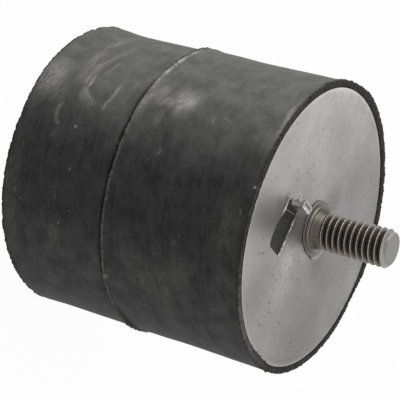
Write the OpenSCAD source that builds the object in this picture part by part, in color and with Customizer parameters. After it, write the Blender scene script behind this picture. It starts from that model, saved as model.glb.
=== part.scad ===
// Cylindrical rubber engine mount, standing on its base end with the stud up.
// Millimetres. Z runs along the mount's axis, and Z = 0 is the face of the base end.

/* [Rubber body] */
// Outside diameter of the rubber
body_d = 73; // [64:0.5:90]
// Height of the rubber, from the base end to the rim of the stud end
body_h = 68.5; // [60:0.5:90]
// Rubber left around the edge of each end plate
rim_w = 1.5; // [1:0.1:3]
// Height of the mould's parting line above the base end
parting_z = 30.6; // [26:0.1:40]
// Width of the parting ridge where it leaves the body
ridge_w = 1.8; // [1:0.1:4]
// Width of the parting ridge at its crest
crest_w = 0.4; // [0.2:0.1:0.9]
// How far the crest of the parting ridge stands out of the body
ridge_out = 0.8; // [0.5:0.1:2]
// Sideways slip between the two mould halves
mould_slip = 0.2; // [0.1:0.05:0.8]

/* [End plates] */
// Sheet thickness of both end plates
plate_t = 2; // [1.5:0.1:4]
// Depth of the stud plate's face below the rubber rim
plate_sunk = 0.2; // [0.1:0.05:1]
// Clearance around the stud and the insert in their plates
hole_gap = 0.1; // [0.05:0.05:0.3]

/* [Slot and tab] */
// Distance from the axis to the middle of the slot
slot_r = 17.8; // [16:0.1:20]
// Bearing of the slot's middle around the axis, from +X
slot_bearing = -83; // [-180:1:180]
// Bearing of the slot's length, from the tab to the far end
slot_turn = -18; // [-180:1:180]
// Clear length of the slot in front of the tab
slot_l = 11.3; // [7:0.1:12]
// Width of the slot
slot_w = 6.7; // [5:0.1:8]
// Depth of the rubber in the slot below the plate's face
slot_sunk = 0.5; // [0.2:0.1:1.2]
// Height of the tab's tip above the plate's face
tab_h = 3.3; // [3:0.1:8]
// Mean gap between a side of the tab and the slot's side
tab_gap = 0.9; // [0.3:0.1:1.5]
// How far the tab sits off the slot's middle, towards the stud
tab_off = 0.6; // [0.1:0.1:1]
// Inside radius of the tab's bend
bend_r = 0.5; // [0.3:0.1:1.5]

/* [Stud] */
// Major diameter of the stud's thread
stud_d = 9.525; // [6:0.025:12.7]
// Length of the stud beyond the rubber rim
stud_out = 20.3; // [12:0.1:40]
// Chamfer at the stud's tip
tip_chamfer = 0.8; // [0.3:0.1:1.5]
// Height of the welded collar at the stud's foot
collar_h = 2.2; // [1:0.1:4]
// Width of the collar around the stud, at the plate
collar_w = 2.6; // [1.5:0.1:4]
// Width of the collar around the stud, at its top
collar_top_w = 0.6; // [0.2:0.1:1.2]
// Thickness of the stud's head behind the plate
head_t = 3; // [2:0.1:6]
// Width of the head around the stud
head_w = 3.2; // [2:0.1:5]

/* [Base thread] */
// Tapping diameter of the thread in the base
tap_d = 7.94; // [5:0.02:11]
// Depth of the tapped hole at its full diameter
tap_depth = 14; // [8:0.5:20]
// Chamfer at the mouth of the tapped hole
mouth_chamfer = 0.8; // [0.3:0.1:1.5]
// Included angle of the drill's point
drill_angle = 118; // [90:1:140]
// Wall of the insert around and beyond the hole
insert_wall = 3; // [2:0.1:5]
// Width of the insert's flange behind the plate
flange_w = 3; // [1.5:0.1:6]
// Thickness of the insert's flange
flange_t = 2; // [1:0.1:4]

/* [Hidden] */
$fn = 128;

rubber_black = "#2c2c2c";
sheet_grey = "#a5a4a2";
stud_grey = "#8c8a86";

// How far a cutting shape runs past the face that it cuts
past = 1;
body_r = body_d / 2;
plate_d = body_d - 2 * rim_w;
stud_face_z = body_h - plate_sunk;
stud_back_z = stud_face_z - plate_t;
head_d = stud_d + 2 * head_w;
tab_w = slot_w - 2 * tab_gap;
// Length of sheet that the bend and the standing tab take up, from the hinge to the clear slot
tab_foot = bend_r + plate_t;
insert_d = tap_d + 2 * insert_wall;
flange_d = insert_d + 2 * flange_w;
drill_point = tap_d / 2 / tan(drill_angle / 2);
insert_h = tap_depth + drill_point + insert_wall;

// Ring with a tapered section that marks where the mould halves met
module parting_ridge() {
    translate([0, 0, parting_z]) rotate_extrude() polygon([
        [0, -ridge_w / 2],
        [body_r, -ridge_w / 2],
        [body_r + ridge_out, -crest_w / 2],
        [body_r + ridge_out, crest_w / 2],
        [body_r, ridge_w / 2],
        [0, ridge_w / 2]
    ]);
}

// The two mould halves with the slip between them
module moulded_halves() {
    translate([mould_slip / 2, 0, 0]) cylinder(d = body_d, h = parting_z);
    translate([-mould_slip / 2, 0, parting_z]) cylinder(d = body_d, h = body_h - parting_z);
    parting_ridge();
}

// Puts its children at the tab's hinge: X along the slot, Z = 0 at the plate's face
module at_hinge() {
    rotate([0, 0, slot_bearing]) translate([slot_r, 0, stud_face_z])
        rotate([0, 0, slot_turn - slot_bearing]) translate([-slot_l / 2 - tab_foot, 0, 0])
            children();
}

// Block of the slot's outline between two heights from the plate's face
module slot_block(low, high) {
    at_hinge() translate([0, -slot_w / 2, low]) cube([tab_foot + slot_l, slot_w, high - low]);
}

// Tongue of sheet bent up at the slot's end, with a root that runs back into the plate
module tab() {
    at_hinge() translate([0, tab_off, 0]) {
        translate([-plate_t, -tab_w / 2, -plate_t]) cube([plate_t, tab_w, plate_t]);
        translate([0, 0, bend_r]) rotate([0, 90, -90]) rotate_extrude(angle = 90)
            translate([bend_r, -tab_w / 2]) square([plate_t, tab_w]);
        translate([bend_r, -tab_w / 2, bend_r]) cube([plate_t, tab_w, tab_h - bend_r]);
    }
}

// Outside of the insert: a nose in the plate, a flange behind it and a barrel in the rubber
module insert_outside() {
    cylinder(d = insert_d, h = insert_h);
    translate([0, 0, plate_t]) cylinder(d = flange_d, h = flange_t);
}

module rubber_body() {
    color(rubber_black) {
        difference() {
            moulded_halves();
            translate([0, 0, stud_back_z]) cylinder(d = plate_d, h = plate_t + plate_sunk + past);
            translate([0, 0, stud_back_z - head_t]) cylinder(d = head_d, h = head_t + past);
            translate([0, 0, -past]) cylinder(d = plate_d, h = plate_t + past);
            insert_outside();
        }
        difference() {
            slot_block(-plate_t, -slot_sunk);
            tab();
        }
    }
}

module stud_plate() {
    color(sheet_grey) {
        difference() {
            translate([0, 0, stud_back_z]) cylinder(d = plate_d, h = plate_t);
            translate([0, 0, stud_back_z - past]) cylinder(d = stud_d + 2 * hole_gap, h = plate_t + 2 * past);
            slot_block(-plate_t - past, past);
        }
        tab();
    }
}

module stud() {
    shank_h = body_h + stud_out - stud_back_z;
    color(stud_grey) {
        translate([0, 0, stud_back_z - head_t]) cylinder(d = head_d, h = head_t);
        translate([0, 0, stud_back_z]) cylinder(d = stud_d, h = shank_h - tip_chamfer);
        translate([0, 0, stud_back_z + shank_h - tip_chamfer])
            cylinder(d1 = stud_d, d2 = stud_d - 2 * tip_chamfer, h = tip_chamfer);
        translate([0, 0, stud_face_z])
            cylinder(d1 = stud_d + 2 * collar_w, d2 = stud_d + 2 * collar_top_w, h = collar_h);
    }
}

module base_plate() {
    color(sheet_grey) difference() {
        cylinder(d = plate_d, h = plate_t);
        translate([0, 0, -past]) cylinder(d = insert_d + 2 * hole_gap, h = plate_t + 2 * past);
    }
}

module base_insert() {
    color(stud_grey) difference() {
        insert_outside();
        translate([0, 0, -past]) cylinder(d = tap_d, h = tap_depth + past);
        translate([0, 0, tap_depth]) cylinder(d1 = tap_d, d2 = 0, h = drill_point);
        cylinder(d1 = tap_d + 2 * mouth_chamfer, d2 = tap_d, h = mouth_chamfer);
    }
}

rubber_body();
stud_plate();
stud();
base_plate();
base_insert();
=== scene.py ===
"""Dress the cylindrical rubber engine mount: its meshes, finishes, studio and camera.

Lengths are millimetres, angles are degrees and bearings turn from +X about +Z, unless a name says otherwise.
The frame and every Blender object are in metres.
"""

import logging
import math
from dataclasses import dataclass
from enum import Enum
from functools import reduce
from typing import Any, Optional, Sequence, Union

import bpy
import numpy as np
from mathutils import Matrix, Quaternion, Vector, noise

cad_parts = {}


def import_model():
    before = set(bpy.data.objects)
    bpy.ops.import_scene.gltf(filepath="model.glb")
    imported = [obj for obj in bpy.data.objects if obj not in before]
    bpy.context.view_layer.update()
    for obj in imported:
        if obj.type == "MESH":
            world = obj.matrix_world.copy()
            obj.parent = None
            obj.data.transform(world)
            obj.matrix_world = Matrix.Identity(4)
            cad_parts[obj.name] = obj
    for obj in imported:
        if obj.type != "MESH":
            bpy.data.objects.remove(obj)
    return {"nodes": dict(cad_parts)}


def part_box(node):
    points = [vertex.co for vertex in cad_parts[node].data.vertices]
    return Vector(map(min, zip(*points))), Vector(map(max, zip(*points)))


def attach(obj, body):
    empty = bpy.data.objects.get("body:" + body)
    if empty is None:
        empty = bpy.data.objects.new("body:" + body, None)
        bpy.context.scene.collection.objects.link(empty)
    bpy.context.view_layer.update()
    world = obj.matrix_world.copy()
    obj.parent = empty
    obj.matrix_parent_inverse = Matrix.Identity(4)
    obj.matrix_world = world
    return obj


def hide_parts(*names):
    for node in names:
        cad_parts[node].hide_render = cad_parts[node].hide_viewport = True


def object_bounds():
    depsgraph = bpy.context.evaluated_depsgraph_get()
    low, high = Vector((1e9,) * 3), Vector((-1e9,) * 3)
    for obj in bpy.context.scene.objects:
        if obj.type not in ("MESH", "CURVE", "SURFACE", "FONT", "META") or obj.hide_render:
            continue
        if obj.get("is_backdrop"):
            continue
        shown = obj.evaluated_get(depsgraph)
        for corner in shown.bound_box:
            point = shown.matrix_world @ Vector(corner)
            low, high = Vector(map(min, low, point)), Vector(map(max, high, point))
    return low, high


MM = 0.001
BODY = "root"
LOG = logging.getLogger("engine_mount")

Piece = bpy.types.Object
Material = bpy.types.Material
Node = bpy.types.Node
Socket = bpy.types.NodeSocket
Tree = bpy.types.NodeTree
Inputs = Union[Sequence[Any], dict[Union[str, int], Any]]
Number = Union[float, np.ndarray]
Point = tuple[float, float, float]
Pairs = Sequence[tuple[float, float]]
# Start and end of a mask, then the values that it gives there
Ramp = tuple[float, float, float, float]
# Height, middle bearing and half-width of each bump around a ring
Bumps = Sequence[Point]


class Slot(Enum):
    """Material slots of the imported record."""

    RUBBER = "black_rubber"
    PLATE = "plate_steel"
    STUD = "stud_steel"


class Wear(Enum):
    """What the rubber's mesh says about its surface and its painted light, point by point."""

    TORN = "torn"
    RUBBED = "rubbed"
    CREASED = "painted_shade"


def linear(colour: str) -> tuple[float, float, float, float]:
    """Turn an sRGB hex colour into linear light.

    Args:
        colour: Six hex digits after a hash.

    Returns:
        Linear red, green and blue with an alpha of 1.
    """
    parts = [int(colour[i:i + 2], 16) / 255 for i in (1, 3, 5)]
    red, green, blue = [c / 12.92 if c <= 0.04045 else ((c + 0.055) / 1.055) ** 2.4 for c in parts]
    return red, green, blue, 1.0


def per_mm(size: float) -> float:
    """Texture scale, on coordinates in metres, of a pattern that repeats every size millimetres."""
    return 1 / (size * MM)


def wire(node: Node, inputs: Inputs) -> None:
    """Give a node its values and links.

    Args:
        node: The node.
        inputs: Hex colour, other value or output socket for each input, in order or by the input's name.
    """
    for key, value in inputs.items() if isinstance(inputs, dict) else enumerate(inputs):
        if isinstance(value, Socket):
            node.id_data.links.new(value, node.inputs[key])
        else:
            node.inputs[key].default_value = linear(value) if isinstance(value, str) else value


def put(tree: Tree, kind: str, inputs: Inputs = (), out: Optional[str] = None, **settings: Any) -> Socket:
    """Add a shader node with its settings, values and links.

    Args:
        tree: Node tree that takes the node.
        kind: Blender's name of the node's type, after ShaderNode.
        inputs: The node's inputs, as wire takes them.
        out: Name of the output to return, or None for the first one in use.
        **settings: The node's own properties.

    Returns:
        The output.
    """
    made = tree.nodes.new("ShaderNode" + kind)
    for name, value in settings.items():
        setattr(made, name, value)
    wire(made, inputs)
    return made.outputs[out] if out else next(socket for socket in made.outputs if socket.enabled)


def combined(tree: Tree, operation: str, masks: Sequence[Socket]) -> Socket:
    """Take masks together in turn, as their highest, their lowest or their product.

    Args:
        tree: Node tree of the masks.
        operation: Blender's name of what is done with each two of them.
        masks: The masks.

    Returns:
        The result.
    """
    return reduce(lambda first, second: put(tree, "Math", (first, second), operation=operation), masks)


def weighed(tree: Tree, first: Socket, others: Sequence[tuple[Socket, float]]) -> Socket:
    """Add shares of other masks to a mask.

    Args:
        tree: Node tree of the masks.
        first: Mask that counts in full.
        others: Each other mask and its share.

    Returns:
        The sum.
    """
    total = first
    for mask, share in others:
        total = put(tree, "Math", (mask, share, total), operation="MULTIPLY_ADD")
    return total


def layered(tree: Tree, tone: str, layers: Sequence[tuple[Socket, Union[str, Socket]]]) -> Socket:
    """Lay colours over a tone, one after another.

    Args:
        tree: Node tree of the material.
        tone: Hex colour that lies under them all.
        layers: How much each layer covers, and its colour.

    Returns:
        The colour with all the layers.
    """
    for share, colour in layers:
        tone = put(tree, "Mix", {"Factor": share, "A": tone, "B": colour}, data_type="RGBA")
    return tone


def blank(name: str) -> tuple[Material, Tree, Node]:
    """Make a material with nodes.

    Args:
        name: Name of the material.

    Returns:
        The material, its node tree and its Principled shader.
    """
    made = bpy.data.materials.new(name)
    made.use_nodes = True
    return made, made.node_tree, made.node_tree.nodes["Principled BSDF"]


def circle(count: int) -> np.ndarray:
    """Bearings in radians of evenly spaced points around a ring."""
    return np.arange(count) * (2 * math.pi / count)


def step(values: Number, low: Number, high: Number) -> Number:
    """Smooth rise from 0 at low to 1 at high."""
    share = np.clip((values - low) / (high - low), 0, 1)
    return share * share * (3 - 2 * share)


def bell(values: Number, width: float) -> Number:
    """Bell curve of height 1 at 0, with most of it within the width to each side."""
    return np.exp(-((values / width) ** 2))


def lobe(bearings: np.ndarray, middle: float, half_width: float) -> np.ndarray:
    """Smooth bump of height 1 around one bearing.

    Args:
        bearings: Bearings in radians.
        middle: Bearing of the bump's middle, in degrees.
        half_width: Bearing from the middle to where the bump has ended, in degrees.

    Returns:
        The bump's height at each bearing.
    """
    away = np.abs((np.degrees(bearings) - middle + 180) % 360 - 180)
    return 1 - step(away, 0, half_width)


def lobes(bearings: np.ndarray, bumps: Bumps) -> np.ndarray:
    """Sum of smooth bumps at each bearing."""
    return sum(height * lobe(bearings, middle, half_width) for height, middle, half_width in bumps)


def uneven(bearings: np.ndarray, seed: int, radius: float, coarse: float, fine: float) -> np.ndarray:
    """Uneven run of an edge around a ring, as a sum of waves with seeded phases.

    Args:
        bearings: Bearings in radians.
        seed: Seed of the phases.
        radius: Radius of the ring.
        coarse: Longest wave along the edge.
        fine: Shortest wave along the edge.

    Returns:
        Heights with a mean of about 0 and a spread of about 1.
    """
    around = 2 * math.pi * radius
    counts = np.arange(max(1, round(around / coarse)), round(around / fine) + 1)
    phases = np.random.default_rng(seed).uniform(0, 2 * math.pi, len(counts))
    weights = counts ** -0.5
    waves = np.cos(np.outer(bearings, counts) + phases) @ weights
    return waves / math.sqrt((weights ** 2).sum() / 2)


def rounded(bearings: np.ndarray, stations: Pairs, soft: float) -> np.ndarray:
    """Smooth closed outline past radii that are given at a few bearings.

    Args:
        bearings: Evenly spaced bearings in radians.
        stations: Bearing in degrees and radius, for each station.
        soft: Half-width in degrees over which the outline is smoothed.

    Returns:
        Radius at each bearing.
    """
    places, radii = zip(*stations)
    straight = np.interp(np.degrees(bearings), places, radii, period=360)
    window = lobe(bearings, 0, soft)
    smooth = np.fft.ifft(np.fft.fft(straight) * np.fft.fft(window / window.sum()))
    return smooth.real


def grain(points: np.ndarray, size: float, seed: float) -> np.ndarray:
    """Cloudy noise over points in space.

    Args:
        points: Points in an array that ends with an axis of three.
        size: Size of the clouds.
        seed: Offset that picks another part of the noise.

    Returns:
        Noise from about -1 to 1 at each point.
    """
    flat = points.reshape(-1, 3) / size + seed
    values = [noise.noise(Vector(p)) for p in flat]
    return np.array(values).reshape(points.shape[:-1])


def ring(radius: Number, height: Number, bearings: np.ndarray) -> np.ndarray:
    """Points of a ring about the Z axis, or of one ring for each row of the radius or height."""
    across = radius * np.cos(bearings), radius * np.sin(bearings)
    return np.stack(np.broadcast_arrays(*across, height), axis=-1)


def turned(profile: Pairs, bearings: np.ndarray) -> np.ndarray:
    """Rings of a turned shape, from the radius and height of each corner of its profile."""
    radii, heights = np.array(profile).T[..., None]
    return ring(radii, heights, bearings)


def level(flat: np.ndarray, height: float) -> np.ndarray:
    """Points of a plane, laid at a height."""
    return np.concatenate([flat, np.full((len(flat), 1), height)], axis=1)


def oblong(length: float, width: float, around: int) -> np.ndarray:
    """Outline of a rectangle with slightly round corners, as points in a plane.

    Args:
        length: Size along the first axis.
        width: Size along the second axis.
        around: Number of points.

    Returns:
        Points of shape (around, 2), anticlockwise.
    """
    squareness, finer = 0.1, 40
    bearings = circle(finer * around)
    sides = np.stack([np.cos(bearings), np.sin(bearings)], axis=-1)
    dense = np.sign(sides) * np.abs(sides) ** squareness * (length / 2, width / 2)
    run = np.cumsum(np.linalg.norm(dense - np.roll(dense, 1, axis=0), axis=1))
    places = np.arange(around) * run[-1] / around
    return np.stack([np.interp(places, run, axis, period=run[-1]) for axis in dense.T], axis=-1)


def skin(name: str, rings: np.ndarray, loop: bool = False, sharp: float = 38.0) -> Piece:
    """Make a closed mesh over a stack of rings.

    Args:
        name: Name of the object.
        rings: Points of shape (rings, points around, 3), anticlockwise about the way that the stack runs.
        loop: True where the last ring meets the first, and False where a point closes each end.
        sharp: Angle between faces from which their edge isn't smoothed.

    Returns:
        The new object.
    """
    stack, around = rings.shape[:2]
    index = np.arange(stack * around).reshape(stack, around)
    points = rings.reshape(-1, 3)
    lower = index if loop else index[:-1]
    upper = np.roll(index, -1, axis=0) if loop else index[1:]
    faces = np.stack([lower, np.roll(lower, -1, axis=1), np.roll(upper, -1, axis=1), upper], axis=-1)
    faces = faces.reshape(-1, 4).tolist()
    if not loop:
        points = np.concatenate([points, rings[[0, -1]].mean(axis=1)])
        first, last = len(points) - 2, len(points) - 1
        faces += [[first, b, a] for a, b in zip(index[0], np.roll(index[0], -1))]
        faces += [[last, a, b] for a, b in zip(index[-1], np.roll(index[-1], -1))]
    mesh = bpy.data.meshes.new(name)
    mesh.from_pydata((points * MM).tolist(), [], faces)
    mesh.shade_smooth()
    mesh.set_sharp_from_angle(angle=math.radians(sharp))
    made = bpy.data.objects.new(name, mesh)
    bpy.context.scene.collection.objects.link(made)
    return made


def note_wear(piece: Piece, kind: Wear, values: np.ndarray) -> None:
    """Store a number for each point of a skin's rings, for its material to read.

    Args:
        piece: Object made by skin.
        kind: What the number says.
        values: Number from 0 to 1 for each ring and bearing.
    """
    layer = piece.data.attributes.new(kind.value, "FLOAT", "POINT")
    flat = np.zeros(len(piece.data.vertices))
    flat[:values.size] = values.ravel()
    layer.data.foreach_set("value", flat)


def joined(name: str, parts: Sequence[Piece]) -> Piece:
    """Join objects into the first one.

    Args:
        name: Name of the result.
        parts: Objects to join.

    Returns:
        The first object, with the others' meshes in it.
    """
    everything = list(parts)
    with bpy.context.temp_override(
        active_object=everything[0], selected_objects=everything, selected_editable_objects=everything
    ):
        bpy.ops.object.join()
    everything[0].name = name
    return everything[0]


def fasten(piece: Piece, node: str, slot: Slot) -> None:
    """Ride a finished piece on the mount in place of its CAD node, and report it.

    Args:
        piece: The piece in its place.
        node: CAD node that the piece stands for.
        slot: Record slot of the piece's main finish, not used.
    """
    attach(piece, BODY)
    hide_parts(node)
    LOG.info("%s: %d faces", piece.name, len(piece.data.polygons))


@dataclass(frozen=True)
class MountSizes:
    """Sizes that the pieces share, from the frame's boxes and the few that a box doesn't show."""

    body_r: float
    body_h: float
    reach_r: float
    plate_r: float
    plate_t: float
    face_z: float
    tip_z: float
    head_r: float
    head_z: float
    flange_r: float
    insert_h: float
    ridge_out: float = 0.8
    parting_z: float = 30.6
    plate_sunk: float = 0.2
    thread_r: float = 9.525 / 2
    pitch: float = 25.4 / 16
    tap_r: float = 7.94 / 2
    tap_depth: float = 14.0
    insert_wall: float = 3.0
    flange_t: float = 2.0
    hole_gap: float = 0.1
    seat_gap: float = 0.01

    @property
    def back_z(self) -> float:
        """Height of the stud plate's hidden face."""
        return self.face_z - self.plate_t

    @property
    def flange_z(self) -> float:
        """Height of the base insert's flange, on the side of the stud."""
        return self.plate_t + self.flange_t

    @property
    def insert_r(self) -> float:
        """Radius of the base insert's barrel."""
        return self.tap_r + self.insert_wall

    @property
    def disc_r(self) -> float:
        """Radius of both discs, which clear their seats in the rubber."""
        return self.plate_r - self.seat_gap

    @classmethod
    def from_frame(cls) -> "MountSizes":
        """Measure the frame's nodes and return the sizes."""
        low, high = {}, {}
        for node in ("rubber_body", "stud_plate", "stud", "base_plate", "base_insert"):
            low[node], high[node] = (np.array(corner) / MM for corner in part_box(node))
        body_h = high["rubber_body"][2]
        reach = high["rubber_body"][0]
        return cls(
            body_r=reach - cls.ridge_out,
            body_h=body_h,
            reach_r=reach,
            plate_r=high["stud_plate"][0],
            plate_t=high["base_plate"][2] - low["base_plate"][2],
            face_z=body_h - cls.plate_sunk,
            tip_z=high["stud"][2],
            head_r=high["stud"][0],
            head_z=low["stud"][2],
            flange_r=high["base_insert"][0],
            insert_h=high["base_insert"][2],
        )


@dataclass(frozen=True)
class Scuff:
    """One scuff mark on the side of the rubber.

    Attributes:
        line: Bearing and height above the base of each point along it.
        width: Distance from its line to where it has faded out.
        strength: How much of the chalky colour it takes, from 0 to 1.
    """

    line: Pairs
    width: float
    strength: float


@dataclass(frozen=True)
class Patch:
    """One cloudy patch of film on the side of the rubber.

    Attributes:
        bearing: Bearing of its middle.
        height: Height of its middle above the base.
        wide: Half its size around the side.
        tall: Half its size up the side.
        strength: How much of the chalky colour it takes, from 0 to 1.
    """

    bearing: float
    height: float
    wide: float
    tall: float
    strength: float


@dataclass(frozen=True)
class FilmAndLight:
    """Grey layer along one side of the rubber, partly wax bloom and dust and partly painted light on that
    side.

    Attributes:
        bearing: Bearing at which the film is thickest.
        full: Bearing away from there to which it stays thick.
        gone: Bearing away from there at which it has ended.
        most: Share of the grey colour where it is thickest.
        patchy: How far clouds thin and thicken it, from 0 to 1.
    """

    bearing: float
    full: float
    gone: float
    most: float
    patchy: float


@dataclass(frozen=True)
class Streaks:
    """Noise on the side of the rubber, drawn out into streaks.

    Attributes:
        width: Width of a streak.
        stretch: Length of a streak over its width.
        turn: Angle of the streaks from the way around the side.
    """

    width: float
    stretch: float
    turn: float


@dataclass(frozen=True)
class MouldedRubber:
    """Black natural rubber, compression moulded and never wiped.

    The eye gets a near-black satin skin; on one side a grey layer that is partly wax bloom and dust and
    partly painted sheen, on the opposite side a fainter one that is partly dust and partly painted bounce
    light; scuff marks that run around it, chalky patches, a parting ridge with a painted highlight on its
    crest and painted shade in its crease, and torn, porous edges where the flash was trimmed.
    """

    sizes: MountSizes
    skin: str = "#353535"
    deep: str = "#0e0e0e"
    # Grey of the bloom and dust, also laid as painted sheen on the lit side and painted bounce light on the
    # opposite side
    film_and_light: str = "#6c6c6b"
    chalk: str = "#aaa8a4"
    # Black of the pores, also laid as painted shade in the crease below the parting ridge
    pore_and_shade: str = "#0b0b0a"
    torn: str = "#3e3d39"
    middle: float = 270.0
    broad: Streaks = Streaks(1.3, 7, 5)
    slant: Streaks = Streaks(0.9, 6, 40)
    hairs: Streaks = Streaks(0.4, 22, 38)
    brushed: Streaks = Streaks(0.5, 6, -14)
    # Size, detail and roughness of the clouds, the puffs and the specks
    clouds: tuple[Point, ...] = ((12.0, 7.0, 0.62), (5.0, 4.0, 0.65), (0.7, 3.0, 0.6))
    mottled: Ramp = (0.8, 1.4, 0.0, 1.0)
    thinned: Ramp = (0.8, 1.5, 0.72, 1.25)
    hairline: Ramp = (0.6, 0.72, 0.0, 0.2)
    powdery: Ramp = (0.72, 1.08, 0.2, 1.15)
    flaky: Ramp = (0.6, 0.84, 0.3, 1.0)
    fibrous: Ramp = (0.38, 0.66, 0.08, 1.0)
    lumpy: Ramp = (0.42, 0.7, 0.0, 1.0)
    roughness: Ramp = (0.0, 1.0, 0.64, 0.88)
    pore_size: float = 0.7
    dust_cell: float = 3.0
    # Layers by bearings 196 and 346: partly bloom and dust, partly painted sheen and painted bounce light
    films_and_light: tuple[FilmAndLight, ...] = (FilmAndLight(196, 32, 71, 0.7, 0.2), FilmAndLight(346, 30, 67, 0.228, 0.5))
    scuffs: tuple[Scuff, ...] = (
        Scuff(((241.5, 13.9), (237.1, 14.5), (231.0, 14.3)), 0.75, 0.95),
        Scuff(((237.5, 12.4), (242.3, 14.5), (244.9, 16.4), (248.5, 19.3)), 1.5, 0.55),
        Scuff(((240.0, 12.0), (244.4, 14.1), (248.5, 17.4)), 1.1, 0.4),
        Scuff(((240.5, 13.3), (233.4, 12.7), (228.3, 13.0), (221.0, 14.8)), 1.6, 0.6),
        Scuff(((226.0, 13.9), (217.7, 15.3), (212.1, 18.2)), 1.2, 0.4),
        Scuff(((220.0, 15.2), (209.5, 16.0)), 1.0, 0.34),
        Scuff(((238.4, 11.5), (231.4, 10.6), (222.7, 10.2), (203.0, 10.8)), 2.0, 0.46),
        Scuff(((234.4, 16.0), (221.8, 17.6)), 1.1, 0.36),
        Scuff(((249.8, 21.3), (238.0, 22.4), (230.4, 22.5)), 0.8, 0.55),
        Scuff(((246.5, 10.3), (251.6, 9.7), (255.3, 10.3), (258.5, 11.8)), 0.8, 0.4),
        Scuff(((258.6, 11.4), (265.2, 10.7)), 0.9, 0.22),
        Scuff(((243.0, 6.6), (251.2, 6.4)), 1.2, 0.3),
        Scuff(((234.0, 5.4), (243.0, 4.8)), 1.8, 0.5),
        Scuff(((238.6, 37.6), (250.0, 37.0)), 1.0, 0.3),
        Scuff(((228.6, 26.3), (237.3, 25.9)), 1.4, 0.2),
        Scuff(((238.0, 51.0), (240.0, 56.0)), 0.7, 0.3),
    )
    patches: tuple[Patch, ...] = (
        Patch(239, 3.5, 7, 5, 0.52), Patch(244, 8, 4, 3, 0.14), Patch(228, 12, 9, 4, 0.12),
        Patch(235.8, 41.2, 5, 4.6, 0.66), Patch(237.6, 37, 1.8, 4, 0.6), Patch(234.4, 34.3, 3.6, 2.4, 0.35),
        Patch(233, 67.6, 8, 0.9, 0.5), Patch(256.9, 16.5, 0.6, 0.6, 0.6), Patch(257.0, 11.0, 0.7, 0.6, 0.35),
        Patch(310.9, 31.1, 0.7, 0.7, 0.7), Patch(294.3, 17.6, 0.45, 0.45, 0.5),
        Patch(262.7, 29.8, 0.5, 0.5, 0.3), Patch(273, 18.5, 0.4, 0.4, 0.35), Patch(284, 16, 0.35, 0.35, 0.3),
        Patch(258, 41, 0.9, 0.35, 0.32), Patch(262, 39, 0.6, 0.4, 0.26), Patch(286, 52, 0.9, 0.5, 0.13),
        Patch(289, 50.5, 1.2, 0.4, 0.12), Patch(261.5, 67.8, 0.5, 0.4, 0.9), Patch(271.5, 66, 1.2, 0.3, 0.26),
        Patch(241, 50.7, 1.4, 0.4, 0.24), Patch(278, 6.3, 0.45, 0.35, 0.28), Patch(286, 3.5, 0.9, 0.5, 0.24),
        Patch(289, 5.8, 0.5, 0.3, 0.24), Patch(275, 1.6, 1.2, 0.4, 0.28), Patch(268, 3.8, 0.5, 0.3, 0.28),
        Patch(307, 42, 6, 4, 0.09), Patch(300, 51, 5, 4, 0.07), Patch(311, 46, 7, 4, 0.08),
        Patch(301, 16, 5, 3, 0.07), Patch(288, 2, 18, 3.5, 0.12), Patch(279, 63.5, 9, 4, 0.1),
    )

    def around(self, bearing: float) -> float:
        """Distance around the side from the middle of the unrolled map."""
        return math.radians(bearing - self.middle) * self.sizes.body_r

    def unrolled(self, tree: Tree) -> Socket:
        """Lay the side out flat.

        Args:
            tree: Node tree of the material.

        Returns:
            Millimetres around the side, then millimetres up it.
        """
        axes = put(tree, "SeparateXYZ", [put(tree, "TexCoord", out="Object")]).node.outputs
        front = put(tree, "Math", (axes["Y"], -1.0), operation="MULTIPLY")
        turn = put(tree, "Math", (axes["X"], front), operation="ARCTAN2")
        along = put(tree, "Math", (turn, self.sizes.body_r), operation="MULTIPLY")
        up = put(tree, "Math", (axes["Z"], 1 / MM), operation="MULTIPLY")
        return put(tree, "CombineXYZ", (along, up))

    def wander(self, tree: Tree, place: Socket, size: float, reach: float) -> Socket:
        """Shift places on the unrolled side unevenly, so that marks there get ragged edges.

        Args:
            tree: Node tree of the material.
            place: Places on the unrolled side.
            size: Size of the unevenness.
            reach: How far a place is shifted at most.

        Returns:
            The shifted places.
        """
        cloud = put(tree, "TexNoise", {"Vector": place, "Scale": 1 / size, "Detail": 3.0}, out="Color")
        middle = put(tree, "VectorMath", (cloud, (0.5, 0.5, 0.5)), operation="SUBTRACT")
        shift = put(tree, "VectorMath", {0: middle, "Scale": 2 * reach}, operation="SCALE")
        return put(tree, "VectorMath", (place, shift), operation="ADD")

    def rubbed(self, tree: Tree, place: Socket, mark: Scuff) -> Socket:
        """Mask of one scuff mark.

        Args:
            tree: Node tree of the material.
            place: Places on the unrolled side.
            mark: The mark.

        Returns:
            Its strength at each place.
        """
        blunt, tapered = 0.4, 2.5
        points = [(self.around(bearing), height, 0.0) for bearing, height in mark.line]
        gaps = []
        for start, end in zip(points, points[1:]):
            run = (end[0] - start[0], end[1] - start[1], 0.0)
            offset = put(tree, "VectorMath", (place, start), operation="SUBTRACT")
            along = put(tree, "VectorMath", (offset, run), operation="DOT_PRODUCT")
            share = put(tree, "Math", (along, run[0] ** 2 + run[1] ** 2), operation="DIVIDE", use_clamp=True)
            foot = put(tree, "VectorMath", {0: run, "Scale": share}, operation="SCALE")
            gaps.append(put(tree, "VectorMath", (offset, foot), operation="DISTANCE"))
        nearest = combined(tree, "MINIMUM", gaps)
        masks = [put(tree, "MapRange", (nearest, 0.0, mark.width, mark.strength, 0.0))]
        for end in (points[0], points[-1]):
            away = put(tree, "VectorMath", (place, end), operation="DISTANCE")
            masks.append(put(tree, "MapRange", (away, blunt, tapered), interpolation_type="SMOOTHSTEP"))

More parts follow.
